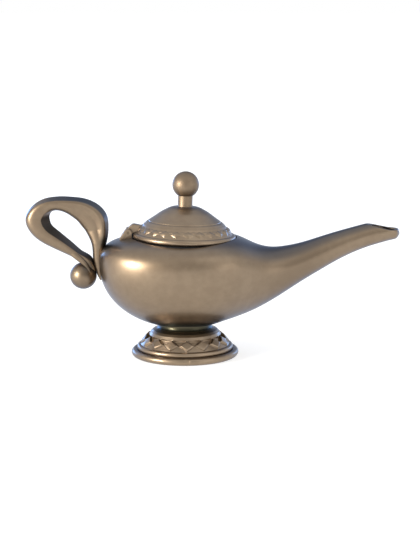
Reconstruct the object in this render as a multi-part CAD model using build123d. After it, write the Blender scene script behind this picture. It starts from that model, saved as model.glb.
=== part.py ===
from build123d import *
import math
import os

# Genie oil lamp: a moulded bowl with a long spout, a looped handle, a hinged lid and a beaded foot.
# Millimetres. X runs from the handle to the spout, Z is up. The origin lies under the middle of the
# foot, on the surface that the lamp stands on.

# Bowl and spout
nose_reach = 64.0
bowl_half_width = 51.0
bowl_depth = 48.4
bowl_rise = 21.5
spout_reach = 160.2
spout_lift = 21.0
wall = 2.2
neck_gap = 1.0
round_share = 0.5523

# Distance from the foot axis as a share of the nose reach, for the closed side of the bowl
nose_shares = (0.995, 0.975, 0.93, 0.85, 0.72, 0.55, 0.3)
width_power = 2.1
rise_power = 3.2
depth_power = 2.1

# Spout side, one row for each section: distance from the foot axis as a share of spout_reach, half
# width as a share of bowl_half_width, drop of the underside as a share of bowl_depth, lift of the
# underside as a share of spout_lift, height as a share of the bowl's, level of the widest line
# as a share of the height, and how full the upper curve is
spout_row_shares = (
    (0.000, 1.000, 1.000, 0.000, 1.000, 0.692, 0.760),
    (0.062, 0.994, 0.989, 0.000, 0.992, 0.692, 0.755),
    (0.125, 0.959, 0.952, 0.000, 0.964, 0.692, 0.750),
    (0.187, 0.892, 0.886, 0.000, 0.913, 0.690, 0.730),
    (0.239, 0.808, 0.829, 0.000, 0.860, 0.685, 0.700),
    (0.280, 0.718, 0.779, 0.000, 0.795, 0.675, 0.660),
    (0.321, 0.620, 0.722, 0.000, 0.716, 0.650, 0.630),
    (0.361, 0.533, 0.656, 0.000, 0.642, 0.615, 0.600),
    (0.408, 0.449, 0.568, 0.000, 0.568, 0.580, 0.580),
    (0.473, 0.371, 0.432, 0.000, 0.488, 0.545, 0.565),
    (0.548, 0.314, 0.269, 0.000, 0.413, 0.520, 0.552),
    (0.629, 0.265, 0.106, 0.000, 0.359, 0.500, 0.552),
    (0.716, 0.227, 0.000, 0.143, 0.305, 0.500, 0.552),
    (0.797, 0.202, 0.000, 0.440, 0.268, 0.500, 0.552),
    (0.866, 0.186, 0.000, 0.638, 0.247, 0.500, 0.552),
    (0.922, 0.182, 0.000, 0.765, 0.221, 0.500, 0.552),
    (0.959, 0.165, 0.000, 0.840, 0.190, 0.500, 0.552),
    (0.984, 0.128, 0.000, 0.890, 0.145, 0.500, 0.552),
    (1.000, 0.075, 0.000, 0.950, 0.085, 0.500, 0.552),
)

# Pouring mouth at the spout tip
rim_slope = 12.5
rim_rise = 26.8
rim_middle_share = 0.925

# Mouth of the bowl and the plane of the lid
lid_slope = 1.8
mouth_offset = -0.4
lid_sink = 1.05
lid_gap = 0.3
bead_radius = 2.3
lid_radius = 38.6
seat_margin = 0.7
collar_wall = 2.4
collar_depth = 7.6
ledge_width = 1.8
ledge_height = 1.4
mouth_inset = 7.2
mouth_ring_lip = 1.8
mouth_ring_depth = 7.0
mouth_ring_thickness = 2.4

# Lid
lid_wall = 2.0
dome_radius = 38.0
dome_top = 22.2
dome_bend = 45.0
dome_edge_inset = 8.8
dome_edge_height = 9.4
ring_step_inset = 7.7
ring_step_height = 8.5
band_top_inset = 7.4
band_top_height = 7.7
band_foot_inset = 3.4
band_foot_height = 3.1
rim_width = 4.8
skirt_clearance = 1.2
skirt_wall = 1.8
skirt_depth = 7.0
skirt_collar_foot = 0.6
skirt_collar_top = 2.0

# Finial
stem_radius = 5.45
stem_height = 9.7
ball_radius = 9.9
ball_sink = 1.5
finial_screw_radius = 1.5
finial_head_radius = 3.2
finial_head_height = 2.0
finial_screw_reach = 9.0
washer_radius = 5.0
washer_thickness = 0.8
finial_socket_wall = 1.4

# Hinge
hinge_setback = 2.9
hinge_rise = 3.35
hinge_pin_radius = 1.1
hinge_running_gap = 0.05
hinge_side_gap = 0.35
knuckle_radius = 2.7
knuckle_width = 6.4
ear_width = 3.8
lug_toe = 6.3
lug_toe_drop = 4.0
lug_shoulder = 1.6
lug_bury = 6.0
tongue_radius = 3.3
tongue_forward = 4.0
tongue_lift = 2.7
tongue_reach = 8.2
tongue_root_drop = 0.9
rivet_radius = 0.9
rivet_head_radius = 1.9
rivet_head_height = 1.0
rivet_setback = 2.9
rivet_grip = 4.0

# Foot and base plate
neck_step = 2.6
neck_bite = 6.4
upper_ring_step = 0.4
upper_ring_lift = 0.6
upper_ring_draw = 4.4
upper_ring_climb = 3.6
band_step = 0.6
band_draw = 6.4
band_climb = 7.5
diamond_count = 16
diamond_relief = 1.1
diamond_sink = 0.9
diamond_turn = 3.4
diamond_height_share = 0.94
diamond_width_share = 0.98
diamond_taper = 56.0
foot_bead_radius = 2.15
foot_bead_step = 3.6
foot_wall = 2.4
base_bead_radius = 2.7
base_bead_reach = 37.6
base_thickness = 3.0
base_step_drop = 0.8
base_rim_height = 2.0
base_rim_wall = 1.6
fit_clearance = 0.1

# Screws
screw_radius = 1.4
screw_head_radius = 2.7
screw_head_height = 1.6
thread_clearance = 0.03
boss_wall = 2.2
bowl_screw_circle = 10.5
bowl_boss_height = 8.0
bowl_screw_length = 13.0
bowl_screw_count = 4
base_screw_inset = 7.0
base_screw_length = 9.0
base_screw_count = 4
base_head_sink = 0.6

# Handle
handle_reach = 53.4
handle_rise = 50.2
handle_grip = 19.0
handle_width = 15.5
handle_wall = 2.2
handle_side_share = 0.9
handle_crown_share = 0.8
handle_top_share = 1.15
handle_ball_radius = 10.0
handle_ball_out_share = 0.227
handle_ball_up_share = -0.189
ball_stub_radius = 2.2
ball_stub_length = 3.5
ball_stub_lean = 15.0
handle_screw_rise = 9.0
handle_screw_side = 2.9
handle_screw_length = 7.0

# Loop of the handle, one row for each section: distance out from the nose as a share of
# handle_reach, height above the equator as a share of handle_rise, thickness as a share of
# handle_grip, width as a share of handle_width
handle_row_shares = (
    (0.008, 0.190, 0.36, 0.60),
    (0.000, 0.303, 0.60, 0.80),
    (0.008, 0.408, 0.763, 0.90),
    (0.024, 0.513, 0.915, 0.97),
    (0.051, 0.620, 1.058, 1.02),
    (0.123, 0.723, 1.068, 1.04),
    (0.217, 0.793, 0.958, 1.03),
    (0.322, 0.838, 0.830, 1.01),
    (0.418, 0.868, 0.700, 0.98),
    (0.512, 0.885, 0.626, 0.95),
    (0.622, 0.884, 0.585, 0.95),
    (0.716, 0.860, 0.620, 0.95),
    (0.780, 0.799, 0.800, 0.97),
    (0.847, 0.667, 0.990, 1.00),
    (0.785, 0.518, 0.925, 1.00),
    (0.720, 0.433, 0.765, 0.97),
    (0.632, 0.362, 0.660, 0.94),
    (0.515, 0.291, 0.600, 0.91),
    (0.403, 0.221, 0.530, 0.87),
    (0.290, 0.145, 0.455, 0.81),
    (0.170, 0.045, 0.440, 0.73),
    (0.103, -0.060, 0.420, 0.62),
    (0.054, -0.165, 0.370, 0.52),
    (0.012, -0.250, 0.210, 0.32),
)
handle_root_count = 3
handle_tip_count = 6

# Blade that runs down the nose of the bowl below the loop, in the same shares
blade_row_shares = (
    (0.004, 0.330, 0.58, 0.74),
    (0.016, 0.210, 0.46, 0.66),
    (0.016, 0.080, 0.41, 0.60),
    (0.006, -0.060, 0.32, 0.50),
    (-0.008, -0.180, 0.19, 0.34),
    (-0.024, -0.250, 0.10, 0.20),
)

overrun = 4.0

# Foot and base plate, worked out from the base bead inwards and upwards
base_step_height = 2 * base_bead_radius - base_step_drop
foot_bead_reach = base_bead_reach - foot_bead_step
foot_bead_height = base_step_height + foot_bead_radius
band_low_radius = foot_bead_reach - band_step
band_low_height = foot_bead_height + foot_bead_radius
band_high_radius = band_low_radius - band_draw
band_high_height = band_low_height + band_climb
upper_ring_radius = band_high_radius - upper_ring_step
upper_ring_foot = band_high_height + upper_ring_lift
upper_ring_top_radius = upper_ring_radius - upper_ring_draw
upper_ring_top = upper_ring_foot + upper_ring_climb
neck_radius = upper_ring_top_radius - neck_step
neck_top = upper_ring_top + neck_bite
base_screw_circle = band_high_radius - base_screw_inset

# Bowl, lid, hinge and handle, worked out from the foot upwards
equator_height = upper_ring_top + neck_gap + bowl_depth
bowl_height = bowl_depth + bowl_rise
rim_height = equator_height + rim_rise
lid_height = equator_height + bowl_rise - lid_sink
mouth_radius = lid_radius - mouth_inset
dome_edge_radius = lid_radius - dome_edge_inset
ring_step_radius = lid_radius - ring_step_inset
band_top_radius = lid_radius - band_top_inset
band_foot_radius = lid_radius - band_foot_inset
bead_reach = lid_radius - bead_radius
seat_drop = bead_radius + lid_gap
seat_radius = lid_radius + seat_margin
hinge_x = mouth_offset - lid_radius - hinge_setback
hinge_height = lid_height + hinge_rise
lug_toe_height = hinge_height - lug_toe_drop
ear_start = knuckle_width / 2 + hinge_side_gap
lug_half_width = ear_start + ear_width
skirt_radius = mouth_radius - skirt_clearance
rim_inner_radius = bead_reach + bead_radius - rim_width
ball_height = dome_top + stem_height + math.sqrt(ball_radius**2 - stem_radius**2) - ball_sink
nose_x = -nose_reach
handle_ball_x = nose_x - handle_reach * handle_ball_out_share
handle_ball_z = equator_height + handle_rise * handle_ball_up_share
lid_plane = Plane(
    origin=(mouth_offset, 0, lid_height),
    x_dir=(math.cos(math.radians(lid_slope)), 0, -math.sin(math.radians(lid_slope))),
    z_dir=(math.sin(math.radians(lid_slope)), 0, math.cos(math.radians(lid_slope))),
)


def oval_face(plane, half_width, above, below, full_above, full_below):
    """Closed face of four quarter curves: half_width to each side, above and below the middle."""

    def at(across, up):
        return plane.from_local_coords((across, up, 0))

    quarters = []
    for side, height, full in ((1, above, full_above), (-1, above, full_above),
                               (-1, -below, full_below), (1, -below, full_below)):
        reach = side * half_width
        points = [at(reach, 0), at(reach, full * height), at(full * reach, height), at(0, height)]
        if side * height < 0:
            points.reverse()
        quarters.append(Bezier(*points))
    return Face(Wire(quarters))


def bowl_sections(inset):
    """Cross sections of the bowl and spout from the nose to the tip, drawn in by the inset."""
    faces = []
    half_width = bowl_half_width - inset
    for share in nose_shares:
        across = half_width * (1 - share**width_power) ** (1 / width_power)
        above = (bowl_rise - inset) * (1 - share**rise_power) ** (1 / rise_power)
        below = (bowl_depth - inset) * (1 - share**depth_power) ** (1 / depth_power)
        plane = Plane(
            origin=(-share * (nose_reach - inset), 0, equator_height), x_dir=(0, 1, 0), z_dir=(1, 0, 0)
        )
        full_top = spout_row_shares[0][-1]
        faces.append(oval_face(plane, across, above, below, full_top, round_share))
    for reach, width, drop, lift, tall, level, full in spout_row_shares:
        bottom = equator_height - bowl_depth * drop + spout_lift * lift
        height = bowl_height * tall
        plane = Plane(
            origin=(reach * (spout_reach - inset), 0, bottom + level * height),
            x_dir=(0, 1, 0), z_dir=(1, 0, 0),
        )
        across = width * bowl_half_width - inset
        above = (1 - level) * height - inset
        below = level * height - inset
        if min(across, above, below) > inset / 2:
            faces.append(oval_face(plane, across, above, below, full, round_share))
    return faces


def rim_cutter():
    """Everything above the sloping rim of the spout's mouth."""
    tilt = math.radians(rim_slope)
    plane = Plane(
        origin=(rim_middle_share * spout_reach, 0, rim_height),
        x_dir=(math.cos(tilt), 0, -math.sin(tilt)),
        z_dir=(math.sin(tilt), 0, math.cos(tilt)),
    )
    return plane * Box(
        bowl_half_width, bowl_half_width, bowl_rise, align=(Align.CENTER, Align.CENTER, Align.MIN)
    )


def outer_body():
    """The bowl and spout as one filled shape, before it is hollowed."""
    return loft(bowl_sections(0))


def lid_disc(radius, bottom, top):
    """A round block in the plane of the lid."""
    return lid_plane * Pos(0, 0, bottom) * Cylinder(
        radius, top - bottom, align=(Align.CENTER, Align.CENTER, Align.MIN)
    )


def lid_tube(outer, inner, bottom, top):
    """A round tube in the plane of the lid."""
    return lid_disc(outer, bottom, top) - lid_disc(inner, bottom - overrun, top + overrun)


def round_places(circle, count):
    """Places spread evenly round the foot axis, none of them on the seam of the two halves."""
    for turn in range(count):
        angle = math.radians((turn + 1 / 2) * 360 / count)
        yield circle * math.cos(angle), circle * math.sin(angle)


def upright(radius, bottom, top):
    """A round post on the Z axis."""
    return Pos(0, 0, bottom) * Cylinder(radius, top - bottom, align=(Align.CENTER, Align.CENTER, Align.MIN))


def screw(radius, length, head_radius, head_height):
    """A screw that points along +Z from a head whose top is at zero."""
    return upright(radius, 0, length) + upright(head_radius, -head_height, 0)


def bowl_shells(outer):
    """Left and right halves of the hollow bowl and spout, with collar, screw bosses and holes."""
    hollow = loft(bowl_sections(wall))
    collar = lid_tube(seat_radius + collar_wall, seat_radius - ledge_width, -collar_depth, bowl_rise)
    ledge_top = -collar_depth + ledge_height
    floor = equator_height - bowl_depth
    shell = outer - hollow
    shell += collar & outer
    for x, y in round_places(bowl_screw_circle, bowl_screw_count):
        boss = Pos(x, y, 0) * upright(screw_radius + boss_wall, floor, floor + bowl_boss_height)
        shell += boss & outer
    shell -= lid_disc(seat_radius, ledge_top, 2 * bowl_rise)
    shell -= lid_disc(seat_radius - ledge_width, -collar_depth - overrun, overrun)
    for x, y in round_places(bowl_screw_circle, bowl_screw_count):
        shell -= Pos(x, y, 0) * upright(screw_radius + thread_clearance, 0, foot_screw_seat() + bowl_screw_length)
    shell -= rim_cutter()
    shell -= handle_screw_group(thread_clearance)
    shell -= hinge_rivet_group(thread_clearance)
    return split_halves(shell)


def split_halves(shape):
    """The parts of a shape on the left (+Y) and on the right of the middle plane."""
    span = 4 * (spout_reach + handle_reach + nose_reach)
    left = Box(span, span, span, align=(Align.CENTER, Align.MIN, Align.CENTER))
    return shape & left, shape - left


def mouth_ring(outer):
    """Seat of the lid: a flanged ring that sits on the collar's ledge."""
    top = -seat_drop
    ledge_top = -collar_depth + ledge_height
    flange = lid_tube(seat_radius, mouth_radius, ledge_top, top)
    sleeve = lid_tube(mouth_radius + mouth_ring_lip, mouth_radius, top - mouth_ring_depth, top)
    relief = lid_tube(
        seat_radius - ledge_width, mouth_radius + mouth_ring_lip, ledge_top - overrun, top - mouth_ring_thickness
    )
    ring = (flange + sleeve - relief) & outer
    return ring


def lug_profile():
    """Side outline of the hinge lug, a wedge that rises from the shoulder to the pin."""
    back = hinge_x - lug_toe
    front = hinge_x + knuckle_radius
    low = hinge_height - knuckle_radius - lug_bury
    wedge = Polyline(
        (back, low), (back, lug_toe_height), (hinge_x - lug_shoulder, hinge_height + knuckle_radius),
        (hinge_x, hinge_height + knuckle_radius), (front, hinge_height), (front, low), close=True,
    )
    return make_face(Plane.XZ * wedge) + Plane.XZ * Pos(hinge_x, hinge_height) * Circle(knuckle_radius)


def hinge_bracket(outer):
    """Lug on the left shoulder with two ears for the pin, shaped to the bowl underneath."""
    block = extrude(lug_profile(), amount=lug_half_width, both=True)
    slot = Pos(hinge_x, 0, hinge_height) * Box(
        2 * (lug_toe + overrun), 2 * ear_start, 2 * (knuckle_radius + hinge_side_gap)
    )
    bore = hinge_bar(hinge_pin_radius, 2 * lug_half_width + overrun)
    lug = block - slot - bore - outer - hinge_rivet_group(thread_clearance)
    return lug - lid_disc(seat_radius, -collar_depth, bowl_rise)


def hinge_bar(radius, length):
    """A round bar on the hinge axis."""
    return Pos(hinge_x, 0, hinge_height) * Rot(90, 0, 0) * Cylinder(radius, length)


def shoulder_height(reach):
    """Height of the bowl's top line on the handle's side, at a distance from the foot axis."""
    share = reach / nose_reach
    return equator_height + bowl_rise * (1 - share**rise_power) ** (1 / rise_power)


def hinge_rivet_group(clearance):
    """Two rivets that come up through the shell into the lug, one on each side of the seam."""
    group = []
    middle = hinge_x - rivet_setback
    seat = shoulder_height(rivet_head_radius - middle) - wall
    for side in (-1, 1):
        rivet = screw(
            rivet_radius + clearance, wall + rivet_grip, rivet_head_radius + clearance, rivet_head_height
        )
        group.append(Pos(middle, side * (ear_start + ear_width / 2), seat) * rivet)
    return Compound(group)


def foot_skin():
    """Outer shape of the foot, from its bead up to the neck."""
    outline = [
        Line((0, base_step_height), (foot_bead_reach, base_step_height)),
        ThreePointArc(
            (foot_bead_reach, base_step_height),
            (foot_bead_reach + foot_bead_radius, foot_bead_height),
            (foot_bead_reach, foot_bead_height + foot_bead_radius),
        ),
        Polyline(
            (foot_bead_reach, foot_bead_height + foot_bead_radius), (band_low_radius, band_low_height),
            (band_high_radius, band_high_height), (upper_ring_radius, upper_ring_foot),
            (upper_ring_top_radius, upper_ring_top), (neck_radius, upper_ring_top),
            (neck_radius, neck_top), (0, neck_top), (0, base_step_height),
        ),
    ]
    return revolve(make_face(Plane.XZ * Curve(outline)), Axis.Z)


def foot_cavity():
    """Hollow inside of the foot, up to the roof that the bowl screws bear on."""
    straight = foot_bead_reach - foot_wall
    outline = Polyline(
        (0, 0), (straight, 0), (straight, foot_bead_height), (band_low_radius - foot_wall, band_low_height),
        (band_high_radius - foot_wall, foot_screw_seat()), (0, foot_screw_seat()), close=True,
    )
    return revolve(make_face(Plane.XZ * outline), Axis.Z)


def foot_diamonds():
    """Row of raised diamonds on the sloping band, corner to corner round the foot."""
    run = band_low_radius - band_high_radius
    climb = band_high_height - band_low_height
    slant = math.hypot(run, climb)
    middle_radius = (band_low_radius + band_high_radius) / 2
    half_tall = diamond_height_share * slant / 2
    half_wide = diamond_width_share * math.pi * middle_radius / diamond_count
    diamond = make_face(Polyline(
        (half_wide, 0), (0, half_tall), (-half_wide, 0), (0, -half_tall), close=True,
    ))
    raised = extrude(diamond, amount=diamond_sink + diamond_relief, taper=diamond_taper)
    group = []
    for turn in range(diamond_count):
        angle = math.radians(diamond_turn + turn * 360 / diamond_count - 90)
        out = Vector(math.cos(angle), math.sin(angle), 0)
        face_out = (out * climb + Vector(0, 0, run)).normalized()
        middle = out * middle_radius + Vector(0, 0, (band_low_height + band_high_height) / 2)
        plane = Plane(
            origin=middle - face_out * diamond_sink,
            x_dir=(-math.sin(angle), math.cos(angle), 0), z_dir=face_out,
        )
        group.append(plane * raised)
    return group


def foot(outer):
    """Hollow pedestal with its bead, diamond band and upper ring, cut to the bowl above it."""
    solid = foot_skin()
    for diamond in foot_diamonds():
        solid += diamond
    solid -= foot_cavity()
    for x, y in round_places(base_screw_circle, base_screw_count):
        boss = upright(screw_radius + boss_wall, base_thickness, upper_ring_foot)
        solid += Pos(x, y, 0) * boss
        solid -= Pos(x, y, 0) * upright(screw_radius + thread_clearance, 0, base_seat() + base_screw_length)
    for x, y in round_places(bowl_screw_circle, bowl_screw_count):
        solid -= Pos(x, y, 0) * upright(screw_radius + thread_clearance, foot_screw_seat() - overrun, neck_top)
    return solid - outer


def foot_screw_seat():
    """Height of the roof inside the foot, where the heads of the bowl screws bear."""
    return band_high_height - foot_wall


def foot_screws():
    """Screws that hold the foot to the bowl."""
    one = screw(screw_radius, bowl_screw_length, screw_head_radius, screw_head_height)
    return Compound([
        Pos(x, y, foot_screw_seat()) * one for x, y in round_places(bowl_screw_circle, bowl_screw_count)
    ])


def base_seat():
    """Height of the seats for the heads of the base screws."""
    return base_head_sink + screw_head_height


def base_plate():
    """Flat plate with the bottom bead, which closes the foot."""
    rim_outer = foot_bead_reach - foot_wall - fit_clearance
    rim_inner = rim_outer - base_rim_wall
    rim_top = base_step_height + base_rim_height
    bead_top = 2 * base_bead_radius
    outline = [
        Line((0, 0), (base_bead_reach, 0)),
        ThreePointArc(
            (base_bead_reach, 0), (base_bead_reach + base_bead_radius, base_bead_radius),
            (base_bead_reach, bead_top),
        ),
        Polyline(
            (base_bead_reach, bead_top), (foot_bead_reach + foot_bead_radius, base_step_height),
            (rim_outer, base_step_height), (rim_outer, rim_top), (rim_inner, rim_top),
            (rim_inner, base_thickness), (0, base_thickness), (0, 0),
        ),
    ]
    plate = revolve(make_face(Plane.XZ * Curve(outline)), Axis.Z)
    for x, y in round_places(base_screw_circle, base_screw_count):
        plate -= Pos(x, y, 0) * upright(screw_radius + thread_clearance, 0, base_thickness)
        plate -= Pos(x, y, 0) * upright(screw_head_radius + thread_clearance, 0, base_seat())
    return plate


def base_screws():
    """Screws that hold the base plate to the foot, with their heads sunk above the table."""
    one = screw(screw_radius, base_screw_length, screw_head_radius, screw_head_height)
    return Compound([
        Pos(x, y, base_seat()) * one for x, y in round_places(base_screw_circle, base_screw_count)
    ])


def lid_shell():
    """Domed lid with its bead, ornamental band, step ring and the tongue of the hinge."""
    dome_middle = dome_top - dome_radius + stem_radius**2 / (2 * dome_radius)
    bend = math.radians(dome_bend)
    over = (dome_radius * math.sin(bend / 2), dome_middle + dome_radius * math.cos(bend / 2))
    hole = finial_screw_radius + thread_clearance
    inner_edge = (dome_edge_radius - lid_wall, dome_edge_height - lid_wall)
    outline = [
        Line((hole, dome_top), (stem_radius, dome_top)),
        ThreePointArc((stem_radius, dome_top), over, (dome_edge_radius, dome_edge_height)),
        Polyline((dome_edge_radius, dome_edge_height), (ring_step_radius, ring_step_height),
                 (band_top_radius, band_top_height), (band_foot_radius, band_foot_height),
                 (bead_reach, bead_radius)),
        ThreePointArc((bead_reach, bead_radius), (lid_radius, 0), (bead_reach, -bead_radius)),
        Polyline((bead_reach, -bead_radius), (rim_inner_radius, -bead_radius),
                 (rim_inner_radius, band_foot_height - lid_wall / 2),
                 (band_top_radius - lid_wall, band_top_height - lid_wall), inner_edge),
        ThreePointArc(inner_edge, (over[0], over[1] - lid_wall), (hole, dome_top - lid_wall)),
        Line((hole, dome_top - lid_wall), (hole, dome_top)),
    ]
    profile = make_face(Plane.XZ * Curve(outline))
    return lid_plane * revolve(profile, Axis.Z)


def tongue():
    """Arched arm from the band of the lid back to its knuckle on the pin."""
    root = Pos(hinge_x, hinge_height) * Circle(knuckle_radius)
    crown = Pos(hinge_x + tongue_forward, hinge_height + tongue_lift) * Circle(tongue_radius)
    end = Pos(hinge_x + tongue_reach, hinge_height + tongue_lift - tongue_root_drop) * Circle(tongue_radius)
    arm = make_hull(root.edges() + crown.edges()) + make_hull(crown.edges() + end.edges())
    bar = extrude(Plane.XZ * arm, amount=knuckle_width / 2, both=True)
    return bar - hinge_bar(hinge_pin_radius + hinge_running_gap, 2 * knuckle_width)


def lid_with_tongue():
    """The lid and its hinge tongue in one piece, the inside of the lid kept clear."""
    inside = lid_disc(rim_inner_radius, -overrun, band_foot_height)
    return lid_shell() + (tongue() - inside)


def lid_skirt():
    """Plug ring under the lid that drops into the mouth ring."""
    collar = lid_tube(rim_inner_radius, skirt_radius - skirt_wall, -skirt_collar_foot, skirt_collar_top)
    plug = lid_tube(skirt_radius, skirt_radius - skirt_wall, -skirt_depth, skirt_collar_top)
    return collar + plug


def lid_turned(shape):
    """A shape drawn on the lid's own axis, laid in the lid plane."""
    return lid_plane * shape


def finial_stem():
    """Plain neck between the dome and the ball."""
    top = ball_height - math.sqrt(ball_radius**2 - stem_radius**2) + ball_sink
    post = upright(stem_radius, dome_top, top) - Pos(0, 0, ball_height) * Sphere(ball_radius)
    return lid_turned(post - upright(finial_screw_radius + thread_clearance, 0, ball_height))


def finial_ball():
    """Ball knob with a blind hole for its screw."""
    top = dome_top - lid_wall - washer_thickness + finial_length()
    ball = Pos(0, 0, ball_height) * Sphere(ball_radius)
    return lid_turned(ball - upright(finial_screw_radius + thread_clearance, 0, top + finial_socket_wall))


def finial_length():
    """Length of the finial screw from the washer into the ball."""
    return lid_wall + washer_thickness + stem_height + finial_screw_reach


def finial_washer():
    """Washer under the head of the finial screw, inside the dome."""
    seat = dome_top - lid_wall
    disc = upright(washer_radius, seat - washer_thickness, seat)
    disc -= upright(finial_screw_radius + thread_clearance, 0, seat)
    return lid_turned(disc) - lid_shell()


def finial_screw():
    """Screw that pulls the ball and stem down on the lid."""
    seat = dome_top - lid_wall - washer_thickness
    one = screw(finial_screw_radius, finial_length(), finial_head_radius, finial_head_height)
    return lid_turned(Pos(0, 0, seat) * one)


def strap_face(plane, half_width, half_thick):
    """Closed face of two arched curves that meet at the sides of the strap, full at its corners."""
    crown = handle_crown_share * half_width
    curves = []
    for side in (1, -1):
        foot = side * handle_side_share * half_thick
        top = side * handle_top_share * half_thick
        points = [
            (half_width, 0), (half_width, foot), (crown, top),
            (-crown, top), (-half_width, foot), (-half_width, 0),
        ]
        curve = Bezier(*[plane.from_local_coords((x, y, 0)) for x, y in points[::side]])
        curves.append(curve)
    return Face(Wire(curves))


def strap(rows, inset):
    """Bar of rounded sections along the handle's side outline, ruled where it is drawn in."""
    middles = [
        (nose_x - handle_reach * out, equator_height + handle_rise * up) for out, up, _, _ in rows
    ]
    faces = []
    for index, (_, _, thick, wide) in enumerate(rows):
        before = middles[max(index - 1, 0)]
        after = middles[min(index + 1, len(rows) - 1)]
        along = Vector(after[0] - before[0], 0, after[1] - before[1]).normalized()
        plane = Plane(
            origin=(middles[index][0], 0, middles[index][1]), x_dir=(0, 1, 0), z_dir=along
        )
        faces.append(strap_face(plane, wide * handle_width / 2 - inset, thick * handle_grip / 2 - inset))
    return loft(faces, ruled=inset > 0)


def ball_stub(radius):
    """Stub of the handle ball, which points up into the lower strand and is held by both halves."""
    stub = upright(radius, 0, handle_ball_radius + ball_stub_length)
    return Pos(handle_ball_x, 0, handle_ball_z) * Rot(0, ball_stub_lean, 0) * stub


def handle_screw_group(clearance):
    """Screws that come out through the nose of the bowl into the root of each handle half."""
    height = equator_height + handle_screw_rise
    inside = nose_x * (1 - (handle_screw_rise / bowl_rise) ** rise_power) ** (1 / rise_power) + wall
    group = []
    for side in (-1, 1):
        one = screw(screw_radius + clearance, handle_screw_length, screw_head_radius, screw_head_height)
        group.append(Pos(inside, side * handle_screw_side, height) * Rot(0, -90, 0) * one)
    return Compound(group)


def handle_shapes(outer):
    """Two hollow halves of the loop and blade, cut to the bowl, and the ball cut to the loop."""
    solid = strap(handle_row_shares, 0) + strap(blade_row_shares, 0)
    ball = Pos(handle_ball_x, 0, handle_ball_z) * Sphere(handle_ball_radius) - solid
    solid -= strap(handle_row_shares[handle_root_count:-handle_tip_count], handle_wall)
    solid -= outer
    solid -= ball_stub(ball_stub_radius + thread_clearance)
    solid -= handle_screw_group(thread_clearance)
    return *split_halves(solid), ball + ball_stub(ball_stub_radius)


def save(shape, name):
    """Write one piece under its own name."""
    export_step(shape, f"parts/{name}.step")


def build_lamp():
    """Make every piece and write it."""
    os.makedirs("parts", exist_ok=True)
    outer = outer_body()
    left, right = bowl_shells(outer)
    handle_left, handle_right, ball = handle_shapes(outer)
    pieces = {
        "bowl_left_shell": left,
        "bowl_right_shell": right,
        "mouth_ring": mouth_ring(outer),
        "hinge_bracket": hinge_bracket(outer),
        "hinge_rivets": hinge_rivet_group(0),
        "hinge_pin": hinge_bar(hinge_pin_radius, 2 * lug_half_width),
        "foot": foot(outer),
        "foot_screws": foot_screws(),
        "base_plate": base_plate(),
        "base_screws": base_screws(),
        "handle_left_half": handle_left,
        "handle_right_half": handle_right,
        "handle_ball": ball,
        "handle_screws": handle_screw_group(0),
        "lid": lid_with_tongue(),
        "lid_skirt": lid_skirt(),
        "finial_stem": finial_stem(),
        "finial_ball": finial_ball(),
        "finial_washer": finial_washer(),
        "finial_screw": finial_screw(),
    }
    for name, shape in pieces.items():
        save(shape, name)


build_lamp()
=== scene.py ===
import itertools
import math

import bmesh
import bpy
import numpy as np
from mathutils import Matrix, Vector


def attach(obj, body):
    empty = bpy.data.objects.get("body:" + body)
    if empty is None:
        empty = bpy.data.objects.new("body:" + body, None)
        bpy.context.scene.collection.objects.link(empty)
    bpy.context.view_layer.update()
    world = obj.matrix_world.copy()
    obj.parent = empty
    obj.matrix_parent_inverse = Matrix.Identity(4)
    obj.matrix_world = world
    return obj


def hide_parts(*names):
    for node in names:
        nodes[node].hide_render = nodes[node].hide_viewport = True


# Genie oil lamp. Lengths are in millimetres. Meshes, shaders and the camera take them times MM.
MM = 0.001

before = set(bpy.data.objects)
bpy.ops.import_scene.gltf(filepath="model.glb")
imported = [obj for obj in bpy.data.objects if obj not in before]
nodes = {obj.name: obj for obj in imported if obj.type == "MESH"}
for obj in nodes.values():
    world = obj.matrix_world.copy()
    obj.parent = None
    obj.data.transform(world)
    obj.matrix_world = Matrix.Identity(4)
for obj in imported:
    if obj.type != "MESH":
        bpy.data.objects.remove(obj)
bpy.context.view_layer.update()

# ---- sizes of the bowl and spout, as in the solids
NOSE_REACH = 64.0
BOWL_HALF_WIDTH = 51.0
EQUATOR = 70.0
BOWL_DEPTH = 48.4
BOWL_RISE = 21.5
SPOUT_REACH = 160.2
SPOUT_LIFT = 21.0
WALL = 2.2
SPOUT_END = 0.02
NOSE_START = 0.03
ROUND = 0.5523
WIDTH_POWER = 2.1
RISE_POWER = 3.2
DEPTH_POWER = 2.1
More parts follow.
